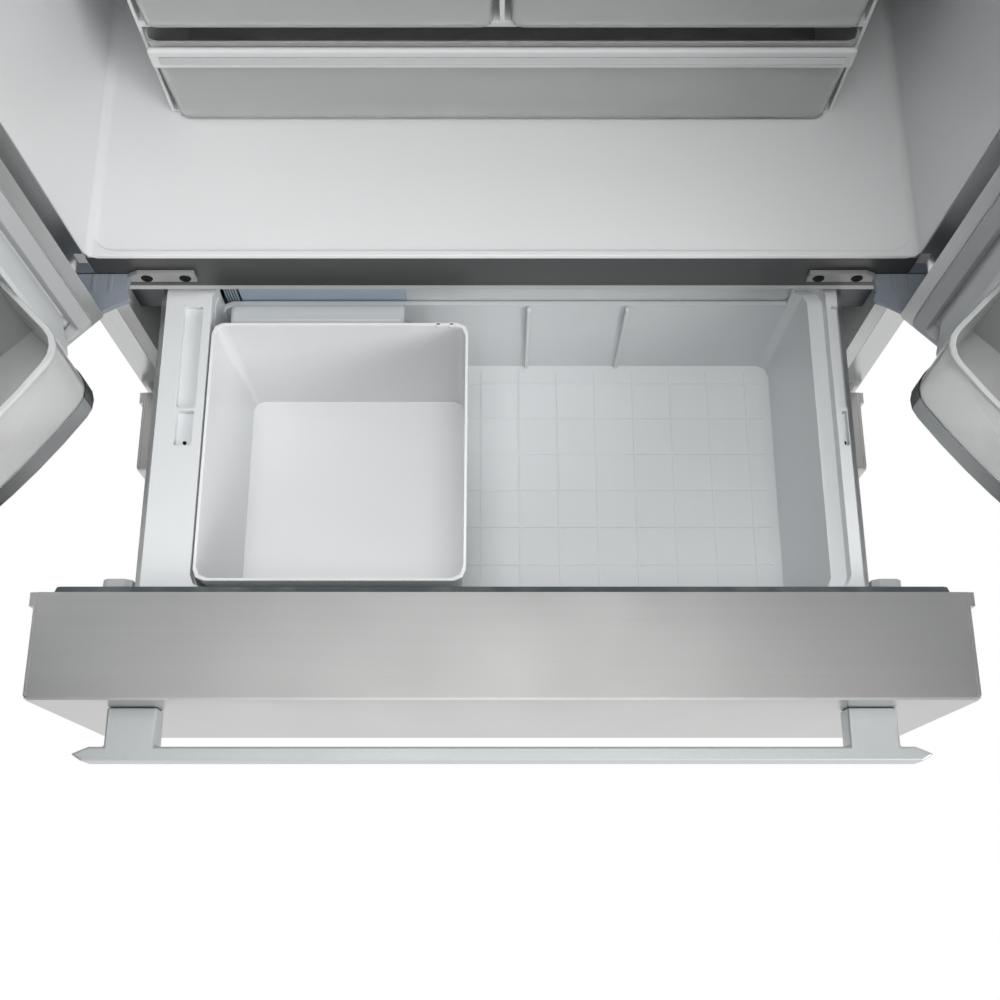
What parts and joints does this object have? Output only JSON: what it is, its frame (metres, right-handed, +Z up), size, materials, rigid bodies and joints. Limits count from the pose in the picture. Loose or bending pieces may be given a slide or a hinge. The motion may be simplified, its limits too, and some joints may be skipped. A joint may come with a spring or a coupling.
{
  "type": "french door refrigerator",
  "caption": "Free-standing refrigerator with two hinged fresh-food doors above two pull-out freezer drawers, with a lift-out ice bin in the upper drawer.",
  "frame": {"origin": "centre of the footprint at floor level, with the upper drawer pulled out and the doors open", "axes": "+Z up, the front faces -Y, +X to the right seen from the front"},
  "size_m": [1.6116, 1.2302, 1.78],
  "materials": {
    "stainless_front": "fine horizontal brushing",
    "painted_cabinet": "satin grey paint",
    "dark_rail": "dark satin paint",
    "zinc_steel": "zinc plated",
    "hinge_steel": "satin silver paint",
    "foam_core": "rigid polyurethane foam",
    "white_liner": "satin vacuum-formed sheet",
    "grey_trim": "satin moulding",
    "seal": "matte soft vinyl",
    "handle_metal": "satin",
    "tub_plastic": "satin moulding",
    "ice_bin_plastic": "satin moulding",
    "clear_plastic": "clear moulded polystyrene",
    "shelf_glass": "tempered glass",
    "black_parts": "satin black",
    "roller_rubber": "hard rubber"
  },
  "bodies": {
    "cabinet": {"cabinet_wrapper": "painted_cabinet", "rear_panel": "zinc_steel", "base_pan": "zinc_steel", "insulation_foam": "foam_core", "fridge_liner": "white_liner", "freezer_liner": "white_liner", "mullion_front_rail": "dark_rail", "mullion_lower_trim": "white_liner", "drawer_divider_rail": "painted_cabinet", "toe_grille": "grey_trim", "hinge_bracket_left": "hinge_steel", "hinge_bracket_right": "hinge_steel", "top_hinge_left": "grey_trim", "top_hinge_right": "grey_trim", "leveling_foot_left": "zinc_steel", "leveling_foot_right": "zinc_steel", "compressor": "black_parts", "ice_maker": "grey_trim", "crisper_frame": "white_liner", "crisper_cover_glass": "shelf_glass", "upper_shelf_glass": "shelf_glass", "upper_slide_cabinet_left": "zinc_steel", "upper_slide_cabinet_right": "zinc_steel", "lower_slide_cabinet_left": "zinc_steel", "lower_slide_cabinet_right": "zinc_steel"},
    "left_door": {"door_skin_left": "stainless_front", "door_liner_left": "white_liner", "door_gasket_left": "seal", "door_handle_left": "handle_metal", "door_bin_lower_left": "clear_plastic", "door_bin_upper_left": "clear_plastic"},
    "right_door": {"door_skin_right": "stainless_front", "door_liner_right": "white_liner", "door_gasket_right": "seal", "door_handle_right": "handle_metal", "door_bin_lower_right": "clear_plastic", "door_bin_upper_right": "clear_plastic"},
    "flipper": {"flipper_mullion": "grey_trim"},
    "upper_drawer": {"upper_drawer_front_skin": "stainless_front", "upper_drawer_inner_panel": "white_liner", "upper_drawer_gasket": "seal", "upper_drawer_handle": "handle_metal", "upper_drawer_tub": "tub_plastic", "upper_slide_drawer_left": "zinc_steel", "upper_slide_drawer_right": "zinc_steel"},
    "upper_middle_left": {"upper_slide_middle_left": "zinc_steel"},
    "upper_middle_right": {"upper_slide_middle_right": "zinc_steel"},
    "ice_bin": {"ice_bin": "ice_bin_plastic"},
    "lower_drawer": {"lower_drawer_front_skin": "stainless_front", "lower_drawer_inner_panel": "white_liner", "lower_drawer_gasket": "seal", "lower_drawer_handle": "handle_metal", "lower_drawer_tub": "tub_plastic"},
    "pantry": {"pantry_drawer": "clear_plastic"},
    "crisper_left": {"crisper_left": "clear_plastic"},
    "crisper_right": {"crisper_right": "clear_plastic"},
    "roller_left": {"rear_roller_left": "roller_rubber"},
    "roller_right": {"rear_roller_right": "roller_rubber"},
    "fan": {"condenser_fan": "black_parts"}
  },
  "joints": [
    {"name": "left_door_hinge", "type": "hinge", "parent": "cabinet", "child": "left_door", "pos_m": [-0.4385, -0.16115, 1.2], "axis": [0, 0, 1], "range_deg": [0, 135]},
    {"name": "right_door_hinge", "type": "hinge", "parent": "cabinet", "child": "right_door", "pos_m": [0.4385, -0.16115, 1.2], "axis": [0, 0, -1], "range_deg": [0, 135]},
    {"name": "flipper_fold", "type": "hinge", "parent": "left_door", "child": "flipper", "pos_m": [-0.68631, -0.47691, 1.2], "axis": [0, 0, -1], "range_deg": [0, 90]},
    {"name": "upper_drawer_slide", "type": "slide", "parent": "cabinet", "child": "upper_drawer", "axis": [0, 1, 0], "range_m": [0, 0.33]},
    {"name": "upper_middle_left_slide", "type": "slide", "parent": "cabinet", "child": "upper_middle_left", "axis": [0, 1, 0], "range_m": [0, 0.165]},
    {"name": "upper_middle_right_slide", "type": "slide", "parent": "cabinet", "child": "upper_middle_right", "axis": [0, 1, 0], "range_m": [0, 0.165]},
    {"name": "ice_bin_lift", "type": "slide", "parent": "upper_drawer", "child": "ice_bin", "axis": [0, 0, -1], "range_m": [-0.07, 0]},
    {"name": "lower_drawer_slide", "type": "slide", "parent": "cabinet", "child": "lower_drawer", "axis": [0, 1, 0], "range_m": [-0.33, 0]},
    {"name": "pantry_slide", "type": "slide", "parent": "cabinet", "child": "pantry", "axis": [0, 1, 0], "range_m": [-0.3, 0]},
    {"name": "crisper_left_slide", "type": "slide", "parent": "cabinet", "child": "crisper_left", "axis": [0, 1, 0], "range_m": [-0.3, 0]},
    {"name": "crisper_right_slide", "type": "slide", "parent": "cabinet", "child": "crisper_right", "axis": [0, 1, 0], "range_m": [-0.3, 0]},
    {"name": "roller_left_spin", "type": "hinge", "parent": "cabinet", "child": "roller_left", "pos_m": [-0.38, 0.51885, 0.0165], "axis": [1, 0, 0], "continuous": true},
    {"name": "roller_right_spin", "type": "hinge", "parent": "cabinet", "child": "roller_right", "pos_m": [0.38, 0.51885, 0.0165], "axis": [1, 0, 0], "continuous": true},
    {"name": "fan_spin", "type": "hinge", "parent": "cabinet", "child": "fan", "pos_m": [0.14, 0.49885, 0.16], "axis": [0, 1, 0], "continuous": true}
  ],
  "couplings": [
    {"joint": "flipper_fold", "follows": "left_door_hinge", "ratio": 0.66667},
    {"joint": "upper_middle_left_slide", "follows": "upper_drawer_slide", "ratio": 0.5},
    {"joint": "upper_middle_right_slide", "follows": "upper_drawer_slide", "ratio": 0.5}
  ]
}
